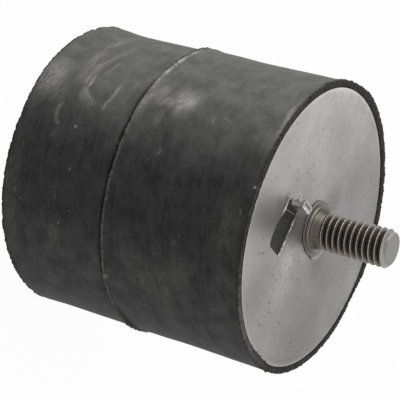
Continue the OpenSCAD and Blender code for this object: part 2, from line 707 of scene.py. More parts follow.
        # Lines that follow the mark, from its distance drawn out along it
        axes = put(tree, "SeparateXYZ", [place]).node.outputs
        apart = put(tree, "Math", (nearest, 12.0), operation="MULTIPLY")
        drawn = put(tree, "CombineXYZ", (apart, axes["X"], axes["Y"]))
        fibre = put(tree, "TexNoise", {"Vector": drawn, "Scale": 1 / 4, "Detail": 3.0})
        masks.append(put(tree, "MapRange", (fibre, *self.fibrous)))
        return combined(tree, "MULTIPLY", masks)

    def clouded(self, tree: Tree, place: Socket, patch: Patch) -> Socket:
        """Mask of one patch.

        Args:
            tree: Node tree of the material.
            place: Places on the unrolled side.
            patch: The patch.

        Returns:
            Its strength at each place.
        """
        full, gone = 0.1, 1.25
        middle = (self.around(patch.bearing), patch.height, 0.0)
        offset = put(tree, "VectorMath", (place, middle), operation="SUBTRACT")
        share = put(tree, "VectorMath", (offset, (patch.wide, patch.tall, 1.0)), operation="DIVIDE")
        away = put(tree, "VectorMath", [share], operation="LENGTH")
        fall = (away, full, gone, patch.strength, 0.0)
        return put(tree, "MapRange", fall, interpolation_type="SMOOTHSTEP")

    def film_and_light_mask(self, tree: Tree, place: Socket, cloud: Socket, film_and_light: FilmAndLight) -> Socket:
        """Mask of one grey layer with its painted light.

        Args:
            tree: Node tree of the material.
            place: Places on the unrolled side.
            cloud: Clouds that thin and thicken it.
            film_and_light: The grey layer and its painted light.

        Returns:
            Its share of the colour at each place.
        """
        thin, thick = 0.36, 0.64
        along = put(tree, "SeparateXYZ", [place], out="X")
        shift = put(tree, "Math", (along, self.around(film_and_light.bearing)), operation="SUBTRACT")
        away = put(tree, "Math", [shift], operation="ABSOLUTE")
        arc = math.radians(1) * self.sizes.body_r
        fall = (away, film_and_light.full * arc, film_and_light.gone * arc, film_and_light.most, 0.0)
        fall = put(tree, "MapRange", fall, interpolation_type="SMOOTHSTEP")
        kept = put(tree, "MapRange", (cloud, thin, thick, 1 - film_and_light.patchy, 1 + 0.6 * film_and_light.patchy))
        return put(tree, "Math", (fall, kept), operation="MULTIPLY")

    def drawn(self, tree: Tree, side: Socket, streaks: Streaks) -> Socket:
        """Noise drawn out into streaks.

        Args:
            tree: Node tree of the material.
            side: Places on the unrolled side.
            streaks: How it is drawn out.

        Returns:
            The noise, from 0 to 1.
        """
        turn = (0, 0, math.radians(streaks.turn))
        laid = {"Vector": side, "Rotation": turn, "Scale": (streaks.stretch, 1, 1)}
        laid = put(tree, "Mapping", laid, vector_type="TEXTURE")
        drawn = {"Vector": laid, "Scale": 1 / streaks.width, "Detail": 4.0, "Roughness": 0.6}
        return put(tree, "TexNoise", drawn)

    def dust(self, tree: Tree, side: Socket) -> Socket:
        """Sparse pale dust specks, 0.1 to 0.4 mm across.

        Args:
            tree: Node tree of the material.
            side: Places on the unrolled side.

        Returns:
            Their strength at each place.
        """
        smallest, spread, rarity, strongest = 0.02, 0.045, 0.93, 0.45
        cells = {"Vector": side, "Scale": 1 / self.dust_cell}
        cell = put(tree, "TexVoronoi", cells, voronoi_dimensions="2D").node.outputs
        chance = put(tree, "SeparateColor", [cell["Color"]]).node.outputs
        size = put(tree, "Math", (chance[1], spread, smallest), operation="MULTIPLY_ADD")
        dot = put(tree, "Math", (cell["Distance"], size), operation="LESS_THAN")
        rare = put(tree, "Math", (chance[0], rarity), operation="GREATER_THAN")
        bright = put(tree, "Math", (chance[2], strongest), operation="MULTIPLY")
        return combined(tree, "MULTIPLY", [dot, rare, bright])

    def material(self) -> Material:
        """Build the finish and return it."""
        made, tree, shader = blank("moulded_black_rubber")
        place = put(tree, "TexCoord", out="Object")
        side = self.unrolled(tree)
        torn, rubbed, painted_shade = (
            put(tree, "Attribute", out="Fac", attribute_name=kind.value) for kind in Wear
        )
        broad, slant, hairs, brushed = (
            self.drawn(tree, side, streaks) for streaks in (self.broad, self.slant, self.hairs, self.brushed)
        )
        cloud, puff, speck = (
            put(tree, "TexNoise", {"Vector": side, "Scale": 1 / size, "Detail": detail, "Roughness": rough})
            for size, detail, rough in self.clouds
        )

        # Mottle of the skin, from puffs and drawn-out smears
        smear = weighed(tree, puff, [(broad, 0.7), (slant, 0.5)])
        mottle = put(tree, "MapRange", (smear, *self.mottled))

        # Grey layer of bloom, dust, painted sheen and painted bounce light, thinned in clouds and smears,
        # with hairline scratches
        drift = self.wander(tree, side, 16, 9)
        film_and_light = combined(tree, "MAXIMUM", [self.film_and_light_mask(tree, drift, puff, one) for one in self.films_and_light])
        thin = put(tree, "MapRange", (weighed(tree, cloud, [(smear, 0.6)]), *self.thinned))
        film_and_light = put(tree, "Math", (film_and_light, thin), operation="MULTIPLY", use_clamp=True)
        line = put(tree, "MapRange", (hairs, *self.hairline))
        scratched = put(tree, "Math", (line, film_and_light, film_and_light), operation="MULTIPLY_ADD")

        # Rub marks, chalky patches and dust
        ragged = self.wander(tree, side, 2.5, 0.5)
        loose = self.wander(tree, side, 3, 1.3)
        marks = combined(tree, "MAXIMUM", [self.rubbed(tree, ragged, mark) for mark in self.scuffs])
        chalk = combined(tree, "MAXIMUM", [self.clouded(tree, loose, patch) for patch in self.patches])
        powder = weighed(tree, brushed, [(puff, 0.3), (speck, 0.5)])
        powder = put(tree, "MapRange", (powder, *self.powdery))
        chalk = put(tree, "Math", (chalk, powder), operation="MULTIPLY")
        chalky = combined(tree, "MAXIMUM", [marks, chalk, self.dust(tree, side)])

        # Crest of the parting ridge, paler where rubbed and with a painted highlight, and torn rubber that is
        # dark in its pores
        flakes = put(tree, "MapRange", (weighed(tree, speck, [(broad, 0.5)]), *self.flaky))
        crest = put(tree, "Math", (rubbed, flakes), operation="MULTIPLY")
        holes = {"Vector": place, "Scale": per_mm(self.pore_size), "Detail": 3.0, "Roughness": 0.6}
        holes = put(tree, "TexNoise", holes)
        crumb = layered(tree, self.pore_and_shade, [(put(tree, "MapRange", (holes, *self.lumpy)), self.torn)])
        # The pores' black also lays painted shade in the crease, and the chalk colour a painted highlight on
        # the crest
        tone = layered(tree, self.deep, [
            (mottle, self.skin), (scratched, self.film_and_light), (chalky, self.chalk), (torn, crumb),
            (painted_shade, self.pore_and_shade), (crest, self.chalk),
        ])
        dull = combined(tree, "MAXIMUM", [film_and_light, chalky, crest, torn, painted_shade])

        # Skin of the mould, drawn at 0.5 mm so that it shows, and the pores of the torn rims
        fine = put(tree, "TexNoise", {"Vector": place, "Scale": per_mm(0.5), "Detail": 3.0})
        scored = put(tree, "Math", (fine, broad), operation="ADD")
        relief = put(tree, "Bump", {"Strength": 0.35, "Distance": 0.06 * MM, "Height": scored})
        open_pores = put(tree, "Math", (holes, torn), operation="MULTIPLY")
        relief = {"Strength": 0.9, "Distance": 0.5 * MM, "Height": open_pores, "Normal": relief}
        wire(shader, {
            "Base Color": tone, "Roughness": put(tree, "MapRange", (dull, *self.roughness)),
            "Normal": put(tree, "Bump", relief), "IOR": 1.5, "Specular IOR Level": 0.2,
            "Sheen Weight": 0.015, "Sheen Roughness": 0.5,
        })
        return made


@dataclass(frozen=True)
class Spot:
    """One soft spot on the plate.

    Attributes:
        x: Its middle.
        y: Its middle.
        size: Radius at which it has faded out.
        strength: How much of the spot's colour the face takes, from 0 to 1.
    """

    x: float
    y: float
    size: float
    strength: float


@dataclass(frozen=True)
class SheetSteel:
    """Bare cold-rolled sheet, grit blasted for bonding, then handled.

    The eye gets a mid grey with blurred reflections, cloudy stains, small dark pits, painted shade towards
    one side and in soft spots, painted highlights in other spots, and a paler edge that is a painted
    highlight.
    """

    plate_r: float
    face: str = "#a09f9c"
    stain_and_shade: str = "#817f7d"
    shade: str = "#716f6c"
    painted_highlight: str = "#b4b3b1"
    edge_highlight: str = "#bcbbb8"
    pit: str = "#3b3834"
    cloud_size: float = 13.0
    mottle_size: float = 1.5
    # Run, reach and shares of the painted shade that darkens the face towards one side
    shade_run: Point = (0.5, 0.85, 0.0)
    shade_reach: float = 26.0
    shade_sides: tuple[float, float] = (-0.35, 0.3)
    stain_and_shade_share: Ramp = (0.3, 1.3, 0.0, 1.0)
    edge_from: float = 1.2
    edge_full: float = 0.4
    edge_share: float = 0.3
    pit_cell: float = 1.1
    pit_size: float = 0.3
    pit_share: float = 0.6
    pit_crowd: float = 9.0
    pit_rarity: Ramp = (0.45, 0.65, 0.98, 0.8)
    roughness: Ramp = (0.0, 1.0, 0.32, 0.46)
    crowds: tuple[Spot, ...] = (Spot(-17, -8.5, 10, 0.36), Spot(11.5, -11, 9, 0.55))
    spots: tuple[Spot, ...] = (
        Spot(5.2, -26.6, 0.5, 0.7), Spot(8.6, -24.3, 0.6, 0.9), Spot(10.8, -8.4, 0.6, 0.7),
        Spot(12, -13.6, 0.45, 0.6), Spot(17.8, -19, 0.5, 0.7), Spot(10.1, -11.3, 0.4, 0.6),
        Spot(12.5, -5.8, 0.4, 0.5), Spot(19.1, -14, 0.4, 0.6), Spot(-19.5, -16.7, 0.4, 0.5),
        Spot(-5.1, -20.2, 2.6, 0.5), Spot(-4.2, -23.5, 3, 0.25), Spot(-17, -16.2, 0.45, 0.6),
        Spot(-16.1, -15.2, 0.35, 0.5), Spot(-15.4, -16.6, 0.35, 0.5), Spot(-11.4, -10.4, 0.45, 0.55),
        Spot(-10.4, -9.4, 0.35, 0.5), Spot(-12.1, -11.7, 0.4, 0.5), Spot(11.6, -12, 0.4, 0.5),
    )
    shades: tuple[Spot, ...] = (
        Spot(-16, 13, 16, 0.4), Spot(-1.5, -29, 8, 0.16), Spot(10, 12.5, 9, 0.5), Spot(-24, 2, 13, 0.4),
        Spot(24, 8, 14, 0.32), Spot(-12.6, -11, 9, 0.15), Spot(-7, 5.5, 8, 0.8), Spot(8, 6, 8.5, 0.85),
        Spot(18, -23, 11, 0.42), Spot(-9.5, -18, 4.5, 0.3),
    )
    # Painted highlights in soft spots, among them the tab's bright edges and the face between slot and weld
    painted_highlights: tuple[Spot, ...] = (
        Spot(-19.5, -9.5, 8, 0.12), Spot(9.5, -11, 6, 0.7), Spot(15.5, -10.5, 8, 0.3),
        Spot(-9, 22, 8, 0.12), Spot(11, 31, 7, 0.3), Spot(0, -9.8, 5.5, 1), Spot(-6.5, -15.1, 0.6, 1),
        Spot(-7.1, -14, 0.6, 1), Spot(-6.7, -13, 0.6, 0.9), Spot(-5.9, -13.5, 0.5, 0.9),
    )

    def gathered(self, tree: Tree, flat: Socket, spots: Sequence[Spot]) -> Socket:
        """Mask of several spots.

        Args:
            tree: Node tree of the material.
            flat: Places on the plate, in metres, at a height of 0.
            spots: The spots.

        Returns:
            Strength of the strongest spot at each place.
        """
        masks = []
        for spot in spots:
            away = put(tree, "VectorMath", (flat, (spot.x * MM, spot.y * MM, 0.0)), operation="DISTANCE")
            fall = (away, 0.0, spot.size * MM, spot.strength, 0.0)
            masks.append(put(tree, "MapRange", fall, interpolation_type="SMOOTHSTEP"))
        return combined(tree, "MAXIMUM", masks)

    def pits(self, tree: Tree, flat: Socket) -> Socket:
        """Scattered pits, up to 0.7 mm across.

        Args:
            tree: Node tree of the material.
            flat: Places on the plate, in metres.

        Returns:
            1 in a pit and 0 elsewhere.
        """
        cells = {"Vector": flat, "Scale": per_mm(self.pit_cell)}
        cell = put(tree, "TexVoronoi", cells, voronoi_dimensions="2D").node.outputs
        chance = put(tree, "SeparateColor", [cell["Color"]]).node.outputs
        crowd = put(tree, "TexNoise", {"Vector": flat, "Scale": per_mm(self.pit_crowd), "Detail": 2.0})
        likely = put(tree, "MapRange", (crowd, *self.pit_rarity))
        likely = put(tree, "Math", (likely, self.gathered(tree, flat, self.crowds)), operation="SUBTRACT")
        size = put(tree, "Math", (chance[1], self.pit_size), operation="MULTIPLY")
        hole = put(tree, "Math", (cell["Distance"], size), operation="LESS_THAN")
        rare = put(tree, "Math", (chance[0], likely), operation="GREATER_THAN")
        return put(tree, "Math", (hole, rare), operation="MULTIPLY")

    def material(self) -> Material:
        """Build the finish and return it."""
        made, tree, shader = blank("blasted_sheet_steel")
        place = put(tree, "TexCoord", out="Object")
        flat = put(tree, "VectorMath", (place, (1, 1, 0)), operation="MULTIPLY")
        cloud, mottle = (
            put(tree, "TexNoise", {"Vector": place, "Scale": per_mm(size), "Detail": fine, "Roughness": 0.6})
            for size, fine in ((self.cloud_size, 6.0), (self.mottle_size, 4.0))
        )

        # Stain clouds, with painted shade that darkens the face towards one side
        across = put(tree, "VectorMath", (flat, self.shade_run), operation="DOT_PRODUCT")
        reach = self.shade_reach * MM
        side = (across, -reach, reach, *self.shade_sides)
        side = put(tree, "MapRange", side, interpolation_type="SMOOTHSTEP")
        stain = weighed(tree, side, [(cloud, 1.1), (mottle, 0.6)])

        # Painted highlight along the die-rolled edge, and dark pits and spots
        out = put(tree, "VectorMath", [flat], operation="LENGTH")
        edge = [(self.plate_r - inward) * MM for inward in (self.edge_from, self.edge_full)]
        edge = put(tree, "MapRange", (out, *edge, 0.0, self.edge_share), interpolation_type="SMOOTHSTEP")
        pits = self.pits(tree, flat)
        dark = put(tree, "Math", (pits, self.pit_share), operation="MULTIPLY")
        dark = combined(tree, "MAXIMUM", [dark, self.gathered(tree, flat, self.spots)])
        # Painted shade and painted highlights in soft spots stand for how light falls across the face
        tone = layered(tree, self.face, [
            (put(tree, "MapRange", (stain, *self.stain_and_shade_share)), self.stain_and_shade),
            (self.gathered(tree, flat, self.shades), self.shade),
            (self.gathered(tree, flat, self.painted_highlights), self.painted_highlight),
            (edge, self.edge_highlight), (dark, self.pit),
        ])
        relief = put(tree, "Math", (mottle, pits), operation="SUBTRACT")
        wire(shader, {
            "Base Color": tone, "Metallic": 1.0, "Roughness": put(tree, "MapRange", (stain, *self.roughness)),
            "Normal": put(tree, "Bump", {"Strength": 0.25, "Distance": 0.05 * MM, "Height": relief}),
        })
        return made


@dataclass(frozen=True)
class Band:
    """One colour of the stud, laid over a band of radii or heights.

    Attributes:
        colour: Its hex colour.
        start: Where it starts, from the thread's radius, the tip's height or the weld's top.
        full: Where it covers all.
    """

    colour: str
    start: float
    full: float


@dataclass(frozen=True)
class RolledSteel:
    """Bare carbon steel with a rolled thread, oiled once and marked by stains since.

    The eye gets bright worn crests, brown-black roots, a clean sheared tip and brown scale on the weld.
    """

    sizes: MountSizes
    root: str = "#3b362f"
    flank: Band = Band("#6f685e", -0.98, -0.4)
    crest: Band = Band("#a6a39c", -0.13, -0.02)
    lead: Band = Band("#a19e98", -1.3, -0.7)
    tip: Band = Band("#858380", -0.12, -0.04)
    neck: Band = Band("#5e5a53", 0.0, -0.7)
    scale: Band = Band("#6e6962", 0.1, 0.7)
    wash: Band = Band("#8c8a86", 2.2, 3.0)
    weld_h: float = 3.3
    stain_size: float = 1.2
    dimmed: Ramp = (0.0, 1.0, 0.6, 1.2)
    roughness: Ramp = (0.0, 1.0, 0.32, 0.58)

    def material(self) -> Material:
        """Build the finish and return it."""
        s = self.sizes
        made, tree, shader = blank("rolled_thread_steel")
        place = put(tree, "TexCoord", out="Object")
        up = put(tree, "SeparateXYZ", [place], out="Z")
        flat = put(tree, "VectorMath", (place, (1, 1, 0)), operation="MULTIPLY")
        out = put(tree, "VectorMath", [flat], operation="LENGTH")
        stains = {"Vector": place, "Scale": per_mm(self.stain_size), "Detail": 4.0, "Roughness": 0.6}
        stain = put(tree, "TexNoise", stains)
        weld_z = s.face_z + self.weld_h
        layers = []
        for band, value, zero in (
            (self.flank, out, s.thread_r), (self.crest, out, s.thread_r), (self.lead, up, s.tip_z),
            (self.tip, up, s.tip_z), (self.neck, up, weld_z), (self.scale, out, s.thread_r),
            (self.wash, out, s.thread_r),
        ):
            share = put(tree, "MapRange", (value, (zero + band.start) * MM, (zero + band.full) * MM))
            if band is self.crest:
                dim = put(tree, "MapRange", (stain, *self.dimmed))
                share = put(tree, "Math", (share, dim), operation="MULTIPLY", use_clamp=True)
            layers.append((share, band.colour))
        wire(shader, {
            "Base Color": layered(tree, self.root, layers), "Metallic": 1.0,
            "Roughness": put(tree, "MapRange", (stain, *self.roughness)),
            "Normal": put(tree, "Bump", {"Strength": 0.3, "Distance": 0.06 * MM, "Height": stain}),
        })
        return made


@dataclass(frozen=True)
class TurnedSteel:
    """Free-cutting steel bar, turned and tapped.

    The eye gets a clean grey with fine tool rings and a little stain.
    """

    bar: str = "#a5a4a1"
    stain: str = "#85837f"
    stain_size: float = 4.0
    feed: float = 0.25

    def material(self) -> Material:
        """Build the finish and return it."""
        made, tree, shader = blank("turned_bar_steel")
        place = put(tree, "TexCoord", out="Object")
        cloud = put(tree, "TexNoise", {"Vector": place, "Scale": per_mm(self.stain_size), "Detail": 4.0})
        # Tool rings, drawn six times as coarse as the feed so that they show
        waves = {"Vector": place, "Scale": per_mm(self.feed) / 20, "Distortion": 0.4}
        rings = put(tree, "TexWave", waves, out="Fac", wave_type="RINGS", rings_direction="Z")
        wire(shader, {
            "Base Color": layered(tree, self.bar, [(cloud, self.stain)]), "Metallic": 1.0, "Roughness": 0.35,
            "Normal": put(tree, "Bump", {"Strength": 0.15, "Distance": 0.02 * MM, "Height": rings}),
        })
        return made


@dataclass(frozen=True)
class ShearedSteel:
    """Freshly sheared edge of the plate's sheet, made paler still as a painted highlight.

    The eye gets a thin bright line along each sheared edge, broken by dull tears.
    """

    cut_and_highlight: str = "#d6d5d2"
    dull: str = "#84827e"
    tear_size: float = 0.8
    torn: Ramp = (0.42, 0.6, 0.0, 1.0)

    def material(self) -> Material:
        """Build the finish and return it."""
        made, tree, shader = blank("sheared_steel_and_highlight")
        place = put(tree, "TexCoord", out="Object")
        tear = put(tree, "TexNoise", {"Vector": place, "Scale": per_mm(self.tear_size), "Detail": 3.0})
        share = put(tree, "MapRange", (tear, *self.torn))
        wire(shader, {
            "Base Color": layered(tree, self.cut_and_highlight, [(share, self.dull)]), "Metallic": 1.0, "Roughness": 0.34,
            "Normal": put(tree, "Bump", {"Strength": 0.3, "Distance": 0.08 * MM, "Height": tear}),
        })
        return made


@dataclass(frozen=True)
class SlotPlace:
    """Where the lanced slot lies on the stud plate, and the size of it and its tab.

    Attributes:
        side_bow: Place along the slot, and how far the side away from the stud is pushed out there.
    """

    radius: float = 17.8
    bearing: float = -83.0
    turn: float = -18.0
    length: float = 11.3
    width: float = 6.7
    sunk: float = 0.5
    tab_h: float = 3.3
    tab_gap: float = 0.9
    tab_off: float = 0.6
    tab_lean: float = 5.0
    bend_r: float = 0.5
    relief: float = 1.1
    around: int = 160
    side_bow: Pairs = (
        (-4.5, -0.35), (-3.0, -0.25), (-1.8, 0.0), (-0.9, 0.2), (0.3, 0.45), (1.7, 0.5), (3.1, 0.36),
        (3.8, 0.22), (4.5, 0.1), (5.1, -0.2), (5.7, -0.55),
    )

    def bow(self, along: np.ndarray) -> np.ndarray:
        """How far the long side away from the stud is pushed out, along the slot."""
        return np.interp(along, *zip(*self.side_bow))

    def outline(self, grow: float) -> np.ndarray:
        """Outline of the slot with its relief by the tab, one long side bowed as the punch left it.

        Args:
            grow: How far the outline is moved out.

        Returns:
            Points along and across the slot, from its middle.
        """
        flat = oblong(self.length + self.relief + 2 * grow, self.width + 2 * grow, self.around)
        flat = flat - (self.relief / 2, 0)
        flat[:, 1] -= self.bow(flat[:, 0]) * np.clip(-flat[:, 1] / (self.width / 2), 0, 1)
        return flat

    def to_mount(self, points: np.ndarray, sizes: MountSizes) -> np.ndarray:
        """Turn points on the slot's own axes into the mount's.

        Args:
            points: Along the slot from its middle, across it towards the stud, and up from the plate's face.
            sizes: Sizes of the mount.

        Returns:
            The points about the mount's origin.
        """
        turn, bearing = math.radians(self.turn), math.radians(self.bearing)
        along = np.array([math.cos(turn), math.sin(turn), 0])
        across = np.array([-math.sin(turn), math.cos(turn), 0])
        middle = np.array([self.radius * math.cos(bearing), self.radius * math.sin(bearing), sizes.face_z])
        up = np.array([0, 0, 1])
        return middle + points[..., :1] * along + points[..., 1:2] * across + points[..., 2:3] * up


@dataclass
class RubberBody:
    """The moulding: side wall, parting ridge, ragged rims, seats for the steel and the rubber in the slot.

    Attributes:
        skew: Sideways slip between the halves of the mould.
        ridge_shape: Height above the parting line, and how far the wall stands out there.
        rim_shape: Share of the way from the plate's edge to the wall, and depth below the rim's crest there.
        fill_shape: Share of the slot's outline, and depth below the rubber's level in the slot.
    """

    sizes: MountSizes
    slot: SlotPlace
    around: int = 720
    skew: float = 0.13
    wall_edge: float = 0.3
    ridge_span: float = 2.4
    base_seed: int = 31
    stud_seed: int = 21
    ridge_shape: Pairs = (
        (-1.5, 0.0), (-1.0, -0.1), (-0.6, -0.4), (-0.3, -0.2), (-0.12, 0.46), (0.0, 0.72), (0.18, 0.66),
        (0.55, 0.46), (1.2, 0.32), (2.2, 0.25), (3.8, 0.2), (8.0, 0.14), (14.0, 0.0),
    )
    rim_shape: Pairs = (
        (1.0, 0.16), (0.97, 0.08), (0.9, 0.03), (0.76, 0.0), (0.62, 0.0), (0.5, 0.0), (0.38, 0.02),
        (0.25, 0.06), (0.12, 0.14), (0.04, 0.22), (0.0, 0.4),
    )
    fill_shape: Pairs = ((1, -0.1), (0.95, 0), (0.8, 0.08), (0.55, 0.12), (0.25, 0.1))
    flash: Bumps = ((0.42, 197, 9), (0.3, 345, 9), (-0.15, 184, 10))
    stud_swell: Bumps = ((0.25, 195, 28), (0.45, 122, 75), (0.45, 152, 28), (0.3, 165, 14), (-0.9, 65, 16))
    ragged: Bumps = ((0.07, 85, 70), (0.05, 345, 20))
    lapped: Bumps = ((0.55, 340, 16), (0.25, 262, 30))

    def parting(self, bearings: np.ndarray) -> np.ndarray:
        """How far the parting line wanders from its nominal height, at each bearing."""
        tilt = 0.4 * np.cos(bearings - math.radians(255)) - 0.4
        return tilt + 0.08 * uneven(bearings, 5, self.sizes.body_r, 60, 8)

    def ridge(self, away: np.ndarray, bearings: np.ndarray) -> np.ndarray:
        """Height of the parting ridge above the wall: a groove, a steep base side and a long stud side.

        Args:
            away: Height above the parting line, one row for each ring.
            bearings: Bearings in radians.

        Returns:
            Height for each ring and bearing.
        """
        crest = 0.98 + 0.14 * bell(away, 0.8) * uneven(bearings, 11, self.sizes.body_r, 25, 1.0)
        shape = np.interp(away, *zip(*self.ridge_shape)) * np.clip(crest, 0.5, 1.08)
        shape = np.where(shape < 0, shape * (1 - lobe(bearings, 190, 40)), shape)
        full = 0.12 * lobe(bearings, 187, 35) * bell(away - 6, 5)
        return shape + full + lobes(bearings, self.flash) * bell(away, 0.3)

    def stud_flare(self, bearings: np.ndarray) -> np.ndarray:
        """How far the stud end swells out of the wall, at each bearing."""
        return 0.1 + lobes(bearings, self.stud_swell)

    def base_flare(self, bearings: np.ndarray) -> np.ndarray:
        """How far the base end swells out of the wall, at each bearing."""
        return 0.2 + 0.85 * np.clip(1.9 * lobe(bearings, 215, 48), 0, 1)

    def tear(self, bearings: np.ndarray, seed: int) -> np.ndarray:
        """Ragged run of a trimmed rim, at each bearing."""
        small = (0.06 + lobes(bearings, self.ragged)) * uneven(bearings, seed + 1, self.sizes.body_r, 2, 0.7)
        return 0.07 * uneven(bearings, seed, self.sizes.body_r, 9, 2) + small

    def wall(self, bearings: np.ndarray) -> tuple[np.ndarray, dict[Wear, np.ndarray]]:
        """Side wall from the base rim to the stud rim.

        Args:
            bearings: Bearings in radians.

        Returns:
            The rings, and each kind of wear and painted light at each of their points.
        """
        s, span = self.sizes, self.ridge_span
        heights = np.concatenate([
            np.linspace(self.wall_edge, 4.0, 12),
            np.linspace(5.0, s.parting_z - span - 1, 14),
            s.parting_z + np.linspace(-span, span, 41),
            np.linspace(s.parting_z + span + 0.7, s.body_h - 4.5, 18),
            np.linspace(s.body_h - 3.5, s.body_h - self.wall_edge, 12),
        ])[:, None]
        away = heights - s.parting_z
        above = heights - self.wall_edge
        below = s.body_h - self.wall_edge - heights
        share = 1 - np.abs(away) / np.where(away < 0, s.parting_z, s.body_h - s.parting_z)
        radius = s.body_r + self.ridge(away, bearings)
        radius = radius + self.stud_flare(bearings) * bell(below, 1.8)
        radius = radius + self.tear(bearings, self.stud_seed) * bell(below, 0.5)
        radius = radius + self.base_flare(bearings) * bell(above, 5.5)
        radius = radius + self.tear(bearings, self.base_seed) * bell(above, 0.5)
        rings = ring(radius, heights + share * self.parting(bearings), bearings)
        rings[..., 0] -= self.skew * share * step(away, -0.35, 0.1)
        outward = rings * (1, 1, 0)
        outward /= np.linalg.norm(outward, axis=-1, keepdims=True)
        swell = 0.07 * grain(rings, 18, 3.1) + 0.02 * grain(rings, 4, 8.7)
        return rings + outward * swell[..., None], self.worn(away, np.minimum(above, below), bearings)

    def worn(self, away: np.ndarray, inward: np.ndarray, bearings: np.ndarray) -> dict[Wear, np.ndarray]:
        """Wear and painted light of the side wall: a rubbed crest with a painted highlight, painted shade in
        the crease below it and a painted shadow on the ridge's stud side near bearing 343, and torn ends.

        Args:
            away: Height above the parting line, one row for each ring.
            inward: Distance from the nearer end, one row for each ring.
            bearings: Bearings in radians.

        Returns:
            Each kind of wear, for each ring and bearing.
        """
        radius = self.sizes.body_r
        # Pale band just above the crest, partly rubbed and partly a painted highlight, strongest by bearing
        # 219
        highlit = lobe(bearings, 219, 30)
        shine = (0.2 + 0.75 * highlit) * np.clip(0.8 + 0.3 * uneven(bearings, 13, radius, 9, 1), 0, 1)
        from_crest = away - 0.3 * lobe(bearings, 207, 30)
        band = step(from_crest, -0.06, 0.08) * (1 - step(from_crest, 0.4 + 0.3 * highlit, 0.7 + 0.3 * highlit))
        flaked = lobe(bearings, 238, 14) * bell(away - 0.9, 0.8)
        frayed = lobe(bearings, 237, 13) * bell(away + 0.9, 0.8)
        # Painted shade in the crease below the crest, deepest by bearing 236, and painted shadow on the
        # ridge's stud side by bearing 343
        depth = 0.8 + 0.3 * uneven(bearings, 17, radius, 12, 1) + 0.6 * lobe(bearings, 236, 14)
        wide = 0.7 * lobe(bearings, 262, 28)
        crease = step((away + 1.05 + wide) / (0.25 + wide), 0, 1) * (1 - step(from_crest, -0.12, 0.06))
        shaded = 0.9 * lobe(bearings, 343, 25) * bell(away - 1.0, 1.3)
        return {
            Wear.TORN: np.maximum(0.9 * frayed, 0.7 * bell(inward, 0.35)),
            Wear.RUBBED: np.maximum(shine * band, 0.45 * flaked),
            Wear.CREASED: np.maximum(np.clip(depth, 0.2, 1) * crease, shaded),
        }

    def rim(self, flare: np.ndarray, tear_seed: int, bearings: np.ndarray, seed: float) -> np.ndarray:
        """Trimmed rim of one end, from the wall in to the plate's seat.

        Args:
            flare: How far the end swells out of the wall, at each bearing.
            tear_seed: Seed of the rim's ragged run.
            bearings: Bearings in radians.
            seed: Seed of the torn surface.

        Returns:
            Radius, then depth below the rim's crest, each for every ring and bearing.
        """
        s = self.sizes
        shares, depths = np.array(self.rim_shape).T[..., None]
        outer = s.body_r + flare + self.tear(bearings, tear_seed)
        radius = s.plate_r + (outer - s.plate_r) * shares
        place = ring(radius, seed, bearings)
        pores = 0.7 * grain(place, 1.3, seed) + 0.6 * grain(place, 0.7, seed)
        relief = 0.26 * np.sin(math.pi * np.minimum(0.85, 0.12 + 0.75 * shares))
        return np.stack([radius, np.maximum(0, depths + 0.06 + relief * pores)])

    def lap(self, bearings: np.ndarray) -> np.ndarray:
        """Ring of the thin flash that laps over the stud plate's edge in places."""
        s = self.sizes
        reach = lobes(bearings, self.lapped)
        reach = reach * np.clip(1 + 0.3 * uneven(bearings, 51, s.plate_r, 6, 0.8), 0.2, 1.6)
        return ring(s.plate_r - reach, s.face_z + 0.05, bearings)

    def slot_fill(self) -> Piece:
        """Rubber that has risen into the plate's slot, with a shallow dip in its middle."""
        s, p = self.sizes, self.slot
        outline = p.outline(-s.seat_gap)
        middle = outline.mean(axis=0)
        rows = [level(outline, -s.plate_t)]
        for share, drop in self.fill_shape:
            rows.append(level(middle + (outline - middle) * share, -(p.sunk + drop)))
        rows = np.array(rows)
        rows[1:, :, 2] += 0.06 * grain(rows[1:], 1.2, 2.3)
        made = skin("slot_fill", p.to_mount(rows, s))
        note_wear(made, Wear.RUBBED, np.full(rows.shape[:2], 0.05))
        return made

    def build(self) -> Piece:
        """Build the moulding and return it."""
        s = self.sizes
        bearings = circle(self.around)
        pocket = [
            (0.4 * s.insert_r, s.insert_h), (s.insert_r, s.insert_h), (s.insert_r, s.flange_z),
            (s.flange_r, s.flange_z), (s.flange_r, s.plate_t), (s.plate_r, s.plate_t),
        ]
        seat = [(s.plate_r, s.back_z), (s.head_r, s.back_z), (s.head_r, s.head_z), (0.4 * s.head_r, s.head_z)]
        base_r, base_depth = self.rim(self.base_flare(bearings), self.base_seed, bearings, 4.0)[:, ::-1]
        top_r, top_depth = self.rim(self.stud_flare(bearings), self.stud_seed, bearings, 9.0)
        top_z = s.body_h + 0.3 * lobe(bearings, 95, 90)
        wall, wear = self.wall(bearings)
        points = np.concatenate([
            turned(pocket, bearings),
            ring(base_r, base_depth, bearings),
            wall,
            ring(top_r, top_z - top_depth, bearings),
            [self.lap(bearings), ring(s.plate_r, s.face_z + 0.02, bearings)],
            turned(seat, bearings),
        ])
        limit = s.reach_r - 0.03
        points[..., :2] = np.clip(points[..., :2], -limit, limit)
        side = skin("rubber_side", points)
        base_from, wall_from = len(pocket), len(pocket) + len(base_r)
        top_from = wall_from + len(wall)
        top_to = top_from + len(top_r)
        for kind, values in wear.items():
            amount = np.zeros(points.shape[:2])
            amount[wall_from:top_from] = values
            if kind is Wear.TORN:
                amount[base_from:wall_from] = 1.0
                amount[top_from:top_to] = 1.0
